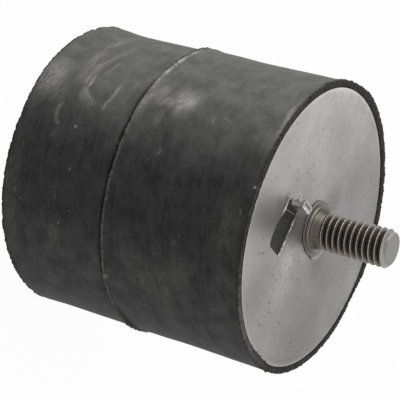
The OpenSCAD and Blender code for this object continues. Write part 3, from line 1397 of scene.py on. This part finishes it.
            # Stud rim paler by bearing 318, partly rubbed and partly a painted highlight on its rounded edge
            if kind is Wear.RUBBED:
                amount[top_from:top_to] = 0.06 + 0.26 * lobe(bearings, 318, 42)
            note_wear(side, kind, amount)
        piece = joined("rubber_moulding", [side, self.slot_fill()])
        piece.data.materials.append(MouldedRubber(s).material())
        fasten(piece, "rubber_body", Slot.RUBBER)
        return piece


@dataclass
class StudPlate:
    """The visible end's disc, with its pierced slot and the tab bent up from it.

    Attributes:
        edge_roll: How far the disc's edge is rolled over.
        roll_shape: Distance in from the edge, and drop below the face there as a share of the roll.
        punch_shape: How far the slot's outline is flared, and height above the face there.
        tab_rise: Shares of the straight tab's height at which it has a section.
        tip_grow: How far the last sections of the tab are burred out or rounded in.
    """

    sizes: MountSizes
    slot: SlotPlace
    steel: Material
    around: int = 256
    edge_roll: float = 0.07
    roll_shape: Pairs = ((0.0, 2.5), (0.05, 1.4), (0.2, 0.85), (0.5, 0.4), (0.9, 0.12), (1.5, 0.0))
    punch_shape: Pairs = ((0, -0.14), (0.03, -0.06), (0.16, 0.08), (0.16, 1))
    tab_around: int = 64
    tab_rise: tuple[float, ...] = (0.35, 0.7, 0.88, 0.96, 1.0, 1.0, 0.95)
    tip_grow: tuple[float, ...] = (0.08, 0.06, -0.35, -0.75)
    burr_points: int = 60

    def disc(self) -> Piece:
        """Disc with a rolled-over edge, before the slot is punched."""
        s = self.sizes
        hole, edge = s.thread_r + s.hole_gap, s.disc_r
        profile = [(edge, s.back_z)]
        profile += [(edge - back, s.face_z - drop * self.edge_roll) for back, drop in self.roll_shape]
        profile += [(s.plate_r * 0.5, s.face_z), (hole + 0.05, s.face_z)]
        profile += [(hole, s.face_z - 0.05), (hole, s.back_z)]
        return skin("stud_disc", turned(profile, circle(self.around)), loop=True)

    def punch(self) -> Piece:
        """Prism of the slot, flared a little at the face as a punch leaves it."""
        s, p = self.sizes, self.slot
        rows = [level(p.outline(0), -s.plate_t - 1)]
        rows += [level(p.outline(grow), height) for grow, height in self.punch_shape]
        return skin("slot_punch", p.to_mount(np.array(rows), s))

    def tab(self, bright: int) -> Piece:
        """Tongue of sheet that leaves the plate at the slot's end and stands up from it.

        Args:
            bright: Material slot of the sheared edges at its tip.

        Returns:
            bright: Material slot of the sheared edges at its tip and sides, whose finish carries a painted
                highlight.
        """
        s, p = self.sizes, self.slot
        hinge = -p.length / 2 - p.bend_r - s.plate_t
        turn = p.bend_r + s.plate_t / 2
        lean = math.radians(90 + p.tab_lean)
        path = [(-0.6, -s.plate_t / 2 - 0.1, 0.0), (-0.3, -s.plate_t / 2 - 0.06, 0.0)]
        path += [(turn * math.sin(a), p.bend_r - turn * math.cos(a), a) for a in np.linspace(0, lean, 10)]
        bend_end, bend_top = path[-1][:2]
        rise = (p.tab_h - bend_top) / math.sin(lean)
        for share in self.tab_rise:
            reach = rise * share
            path.append((bend_end + reach * math.cos(lean), bend_top + reach * math.sin(lean), lean))
        width = p.width - 2 * p.tab_gap
        tip = len(path) - len(self.tip_grow)
        rows = []
        for (along, height, tilt), grow in zip(path, [0.0] * tip + list(self.tip_grow)):
            section = oblong(width + 2 * grow, s.plate_t + 2 * grow, self.tab_around)
            rows.append(np.stack([
                hinge + along - section[:, 1] * math.sin(tilt),
                p.tab_off + section[:, 0],
                height + section[:, 1] * math.cos(tilt),
            ], axis=-1))
        made = skin("tab", p.to_mount(np.array(rows), s))
        index = np.zeros(len(made.data.polygons), dtype=int)
        # Sheared tip and sides take the pale sheared finish with its painted highlight
        index[tip * self.tab_around:(tip + 2) * self.tab_around] = bright
        sideways = math.radians(p.turn + 90)
        for face in made.data.polygons:
            if abs(face.normal.x * math.cos(sideways) + face.normal.y * math.sin(sideways)) > 0.8:
                index[face.index] = bright
        made.data.polygons.foreach_set("material_index", index)
        return made

    def burr(self, side: int, start: float, end: float, size: float, seed: int) -> Piece:
        """Thin lip of metal that the punch raised along one long side of the slot.

        Args:
            side: 1 for the side by the stud, -1 for the other.
            start: Where it begins along the slot.
            end: Where it ends along the slot.
            size: Half its width.
            seed: Seed of its unevenness.

        Returns:
            The burr.
        """
        s, p = self.sizes, self.slot
        along = np.linspace(start, end, self.burr_points)
        across = side * (p.width / 2 + 0.12) - (p.bow(along) if side < 0 else 0 * along)
        line = np.stack([along, across, 0 * along], axis=-1)
        taper = np.sqrt(np.sin(np.linspace(0.04, 3.1, self.burr_points)))
        half = size * (1 + 0.5 * grain(line, 1.1, seed)) * taper
        bearings = circle(10)
        rows = [
            point + np.stack([0 * bearings, r * np.cos(bearings), 0.8 * r * np.sin(bearings)], axis=-1)
            for point, r in zip(line, half)
        ]
        return skin("burr", p.to_mount(np.array(rows), s))

    def build(self) -> Piece:
        """Build the plate and return it."""
        half = self.slot.length / 2
        disc, punch = self.disc(), self.punch()
        cut_and_highlight = ShearedSteel().material()
        disc.data.materials.append(self.steel)
        disc.data.materials.append(cut_and_highlight)
        punch.data.materials.append(cut_and_highlight)
        cutting = disc.modifiers.new("slot", "BOOLEAN")
        cutting.operation = "DIFFERENCE"
        cutting.solver = "EXACT"
        cutting.material_mode = "TRANSFER"
        cutting.object = punch
        whole = disc.evaluated_get(bpy.context.evaluated_depsgraph_get())
        disc.data = bpy.data.meshes.new_from_object(whole)
        disc.data.set_sharp_from_angle(angle=math.radians(15))
        disc.modifiers.clear()
        bpy.data.objects.remove(punch)
        tab = self.tab(bright=1)
        tab.data.materials.append(self.steel)
        tab.data.materials.append(cut_and_highlight)
        burrs = [self.burr(-1, -half - 1.0, -1.8, 0.17, 3), self.burr(1, -half + 0.8, half - 0.8, 0.15, 7)]
        for burr in burrs:
            burr.data.materials.append(cut_and_highlight)
        piece = joined("stud_plate_sheet", [disc, tab, *burrs])
        fasten(piece, "stud_plate", Slot.PLATE)
        return piece


@dataclass
class Stud:
    """The threaded stud with its head behind the plate and the uneven weld at its foot.

    Attributes:
        first_crest: Height above the plate at which the thread is full.
        thread_depth: Depth of an outside thread over its pitch.
        crest_flat: Half the width of a crest over half the pitch.
        flank_run: Width of a flank over half the pitch.
        weld_outline: Bearing and radius of the weld's skirt at a few stations.
        skirt_shape: How far the skirt's section stands out of its outline, and its height above the plate.
        bead_shape: The same for the bead above it.
        neck_shape: The same for the run up to the neck, from the neck's radius.
    """

    sizes: MountSizes
    around: int = 144
    neck_r: float = 4.45
    first_crest: float = 3.6
    tip_chamfer: float = 0.8
    thread_from: float = 2.5
    thread_rings: int = 24
    thread_depth: float = 0.6134
    crest_flat: float = 0.125
    flank_run: float = 0.708
    weld_outline: Pairs = (
        (0, 6.4), (24, 8.3), (45, 8.9), (90, 8.0), (140, 7.0), (185, 6.9), (208, 7.3), (241, 7.1), (270, 6.9),
        (292, 6.9), (316, 6.4),
    )
    skirt_shape: Pairs = (
        (0, 0), (0.1, 0.12), (0.12, 0.28), (0.02, 0.42), (-0.16, 0.48), (-0.34, 0.42), (-0.5, 0.34),
    )
    bead_shape: Pairs = ((0.3, 0.38), (0.24, 0.62), (0.14, 0.84), (-0.04, 0.98), (-0.22, 0.94), (-0.38, 0.84))
    neck_shape: Pairs = ((0.5, 0.86), (0.36, 1.1), (0.16, 1.5), (0.05, 2.1))
    skirt_dip: Bumps = ((0.7, 70, 75), (0.6, 160, 50))

    def thread(self, heights: np.ndarray, bearings: np.ndarray) -> np.ndarray:
        """Radius of the thread's surface.

        Args:
            heights: Height above the origin, one row for each ring.
            bearings: Bearings in radians.

        Returns:
            Radius for each ring and bearing.
        """
        s = self.sizes
        turns = heights / s.pitch - bearings / (2 * math.pi)
        from_crest = np.abs((turns % 1) - 0.5) * 2
        drop = np.clip((from_crest - self.crest_flat) / self.flank_run, 0, 1)
        full = s.thread_r - self.thread_depth * s.pitch * drop
        start = s.face_z + self.first_crest
        share = step(heights, start - s.pitch, start)
        limit = s.thread_r - np.clip(heights - (s.tip_z - self.tip_chamfer), 0, None)
        return np.minimum(self.neck_r + (full - self.neck_r) * share, limit)

    def weld(self, bearings: np.ndarray) -> np.ndarray:
        """Weld at the stud's foot: a thin skirt on the plate and a bead that runs up to the neck.

        Args:
            bearings: Bearings in radians.

        Returns:
            Its rings from the plate up.
        """
        skirt = rounded(bearings, self.weld_outline, 24) + 0.06 * uneven(bearings, 41, 6.5, 14, 2.5)
        bead = 5.6 + 0.3 * (skirt - 6.9) + 0.04 * uneven(bearings, 43, 5.8, 12, 2.5)
        low = 1 - lobes(bearings, self.skirt_dip)
        rows = [(skirt + out, up * low) for out, up in self.skirt_shape]
        rows += [(bead + out, up) for out, up in self.bead_shape]
        rows += [(self.neck_r + out, up) for out, up in self.neck_shape]
        return np.array([ring(radius, self.sizes.face_z + height, bearings) for radius, height in rows])

    def build(self) -> Piece:
        """Build the stud and return it."""
        s = self.sizes
        bearings = circle(self.around)
        heights = np.arange(s.face_z + self.thread_from, s.tip_z, s.pitch / self.thread_rings)
        heights = np.append(heights, s.tip_z)[:, None]
        radii = self.thread(heights, bearings)
        hidden = [
            (0.5 * s.head_r, s.head_z), (s.head_r, s.head_z), (s.head_r, s.back_z), (s.thread_r, s.back_z),
            (s.thread_r, s.face_z),
        ]
        piece = skin("threaded_stud", np.concatenate([
            turned(hidden, bearings), self.weld(bearings), ring(radii, heights, bearings),
            [ring(radii[-1] * 0.6, s.tip_z, bearings)],
        ]))
        piece.data.materials.append(RolledSteel(s).material())
        fasten(piece, "stud", Slot.STUD)
        return piece


@dataclass
class BaseEnd:
    """The hidden end: a plain disc and the blind insert that takes the bolt.

    Attributes:
        mouth: Chamfer at the mouth of the tapped hole.
        thread_depth: Depth of an inside thread over its pitch.
        crest_flat: Half the width of a crest over half the pitch.
        flank_run: Width of a flank over half the pitch.
        run_out: Distances from the hole's end between which the thread fades out.
        drill_point: Height of the drill's point beyond the full hole.
    """

    sizes: MountSizes
    steel: Material
    around: int = 192
    insert_around: int = 96
    mouth: float = 0.8
    thread_rings: int = 16
    thread_depth: float = 0.5413
    crest_flat: float = 0.25
    flank_run: float = 0.625
    run_out: tuple[float, float] = (3.0, 1.0)
    drill_point: float = 2.2

    def plate(self) -> Piece:
        """Build the disc and return it."""
        s = self.sizes
        hole, edge = s.insert_r + s.hole_gap, s.disc_r
        profile = [
            (hole, s.plate_t), (hole, 0.05), (hole + 0.05, 0), (s.plate_r * 0.5, 0), (edge - 1.5, 0),
            (edge - 0.5, 0.06), (edge - 0.1, 0.2), (edge, 0.4), (edge, s.plate_t),
        ]
        piece = skin("base_plate_disc", turned(profile, circle(self.around)), loop=True)
        piece.data.materials.append(self.steel)
        fasten(piece, "base_plate", Slot.PLATE)
        return piece

    def bore(self, bearings: np.ndarray) -> np.ndarray:
        """Tapped bore from the drill's point down to the mouth.

        Args:
            bearings: Bearings in radians.

        Returns:
            Its rings.
        """
        s = self.sizes
        heights = np.arange(s.tap_depth, self.mouth, -s.pitch / self.thread_rings)[:, None]
        turns = heights / s.pitch - bearings / (2 * math.pi)
        root = np.clip((np.abs((turns % 1) - 0.5) * 2 - self.crest_flat) / self.flank_run, 0, 1)
        fade_from, fade_to = (s.tap_depth - gap for gap in self.run_out)
        run = step(heights, self.mouth, self.mouth + s.pitch) * (1 - step(heights, fade_from, fade_to))
        rings = ring(s.tap_r + self.thread_depth * s.pitch * root * run, heights, bearings)
        return np.concatenate([[ring(0.3, s.tap_depth + self.drill_point, bearings)], rings])

    def insert(self) -> Piece:
        """Build the threaded insert and return it."""
        s = self.sizes
        bearings = circle(self.insert_around)
        profile = [
            (s.tap_r + self.mouth, 0), (s.insert_r - 0.2, 0), (s.insert_r, 0.2), (s.insert_r, s.plate_t),
            (s.flange_r, s.plate_t), (s.flange_r, s.flange_z), (s.insert_r, s.flange_z),
            (s.insert_r, s.insert_h), (0.4 * s.insert_r, s.insert_h),
        ]
        rings = np.concatenate([self.bore(bearings), turned(profile, bearings)])
        piece = skin("base_threaded_insert", rings)
        piece.data.materials.append(TurnedSteel().material())
        fasten(piece, "base_insert", Slot.STUD)
        return piece

    def build(self) -> list[Piece]:
        """Build both pieces and return them."""
        return [self.plate(), self.insert()]


@dataclass(frozen=True)
class Softbox:
    """A square lamp that faces the mount.

    Attributes:
        name: Name of the lamp.
        side: Length of its sides.
        place: Its middle.
        radiance: Brightness of its face, where 1 is white.
    """

    name: str
    side: float
    place: Point
    radiance: float

    def build(self, aim: Vector) -> Piece:
        """Hang the lamp.

        Args:
            aim: Point that it faces, in metres.

        Returns:
            The lamp.
        """
        data = bpy.data.lights.new(self.name, "AREA")
        data.shape = "SQUARE"
        data.size = self.side * MM
        data.energy = self.radiance * math.pi * data.size ** 2
        lamp = bpy.data.objects.new(self.name, data)
        lamp.location = Vector(self.place) * MM
        lamp.rotation_euler = (aim - lamp.location).to_track_quat("-Z", "Y").to_euler()
        bpy.context.scene.collection.objects.link(lamp)
        return lamp


@dataclass
class Studio:
    """Pale floor, soft lamps and the camera at the photograph's angle."""

    aim: Point = (0.8, 0.0, 34.98)
    azimuth: float = -0.18
    elevation: float = 29.17
    roll: float = 105.5
    distance: float = 374.6
    view_angle: float = 15.47
    sensor_width: float = 36.0
    floor_side: float = 6000.0
    floor_white: float = 0.96
    sky: float = 0.6
    lamps: tuple[Softbox, ...] = (
        Softbox("key_softbox", 420, (-430, -60, 190), 2.4),
        Softbox("plate_softbox", 220, (-170, 500, 330), 1.0),
    )

    def camera(self) -> Piece:
        """Set up the camera and return it."""
        data = bpy.data.cameras.new("photo_camera")
        data.sensor_width = self.sensor_width
        data.lens = data.sensor_width / 2 / math.tan(math.radians(self.view_angle) / 2)
        data.clip_start, data.clip_end = 0.01, 100.0
        camera = bpy.data.objects.new("photo_camera", data)
        a, e = math.radians(self.azimuth), math.radians(self.elevation)
        back = Vector((math.sin(a) * math.cos(e), -math.cos(a) * math.cos(e), math.sin(e)))
        camera.location = (Vector(self.aim) + back * self.distance) * MM
        upright = (-back).to_track_quat("-Z", "Y")
        camera.rotation_mode = "QUATERNION"
        camera.rotation_quaternion = upright @ Quaternion((0, 0, 1), math.radians(self.roll))
        bpy.context.scene.collection.objects.link(camera)
        bpy.context.scene.camera = camera
        return camera

    def seen(self, tree: Tree) -> Socket:
        """Tell what the camera or a gloss sees from what only gives light.

        Args:
            tree: Node tree that takes the nodes.

        Returns:
            1 where the surface is seen directly, in a gloss or through a clear piece, and 0 elsewhere.
        """
        path = put(tree, "LightPath").node.outputs
        rays = [path[name] for name in ("Is Camera Ray", "Is Glossy Ray", "Is Transmission Ray")]
        return combined(tree, "MAXIMUM", rays)

    def floor(self) -> Piece:
        """Lay the floor and return it."""
        half = self.floor_side / 2 * MM
        mesh = bpy.data.meshes.new("studio_floor")
        corners = [(-half, -half, 0), (half, -half, 0), (half, half, 0), (-half, half, 0)]
        mesh.from_pydata(corners, [], [(0, 1, 2, 3)])
        floor = bpy.data.objects.new("studio_floor", mesh)
        bpy.context.scene.collection.objects.link(floor)
        made, tree, shader = blank("white_paper")
        tree.nodes.remove(shader)
        paper = put(tree, "BsdfDiffuse", {"Color": "#f6f6f6"})
        white = put(tree, "Emission", {"Color": "#ffffff", "Strength": 1.0})
        share = put(tree, "Math", (self.seen(tree), self.floor_white), operation="MULTIPLY")
        wire(tree.nodes["Material Output"], {"Surface": put(tree, "MixShader", (share, paper, white))})
        mesh.materials.append(made)
        floor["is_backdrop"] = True
        return floor

    def world(self) -> None:
        """Fill the room with even light, and show white where it is seen."""
        world = bpy.data.worlds.new("studio_room")
        bpy.context.scene.world = world
        world.use_nodes = True
        tree = world.node_tree
        strength = put(tree, "Mix", {"Factor": self.seen(tree), "A": self.sky, "B": 1.0}, data_type="FLOAT")
        wire(tree.nodes["Background"], {"Color": "#ffffff", "Strength": strength})

    def build(self) -> None:
        """Set up the camera, room and lamps."""
        bpy.context.scene.view_settings.view_transform = "Standard"
        self.camera()
        self.floor()
        self.world()
        for lamp in self.lamps:
            lamp.build(Vector(self.aim) * MM)
            LOG.info("%s hung", lamp.name)


def main() -> None:
    """Build the mount's pieces and the studio, and measure the sizes before and after."""
    logging.basicConfig(level=logging.INFO, format="%(name)s: %(message)s")
    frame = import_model()
    cad_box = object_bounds()
    LOG.info("frame: %d nodes", len(frame["nodes"]))
    sizes = MountSizes.from_frame()
    slot = SlotPlace()
    sheet = SheetSteel(sizes.plate_r).material()
    RubberBody(sizes, slot).build()
    StudPlate(sizes, slot, sheet).build()
    Stud(sizes).build()
    BaseEnd(sizes, sheet).build()
    Studio().build()
    boxes = {"cad": cad_box, "visual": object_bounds()}
    {name: [list(corner) for corner in box] for name, box in boxes.items()}


if __name__ == "__main__":
    main()
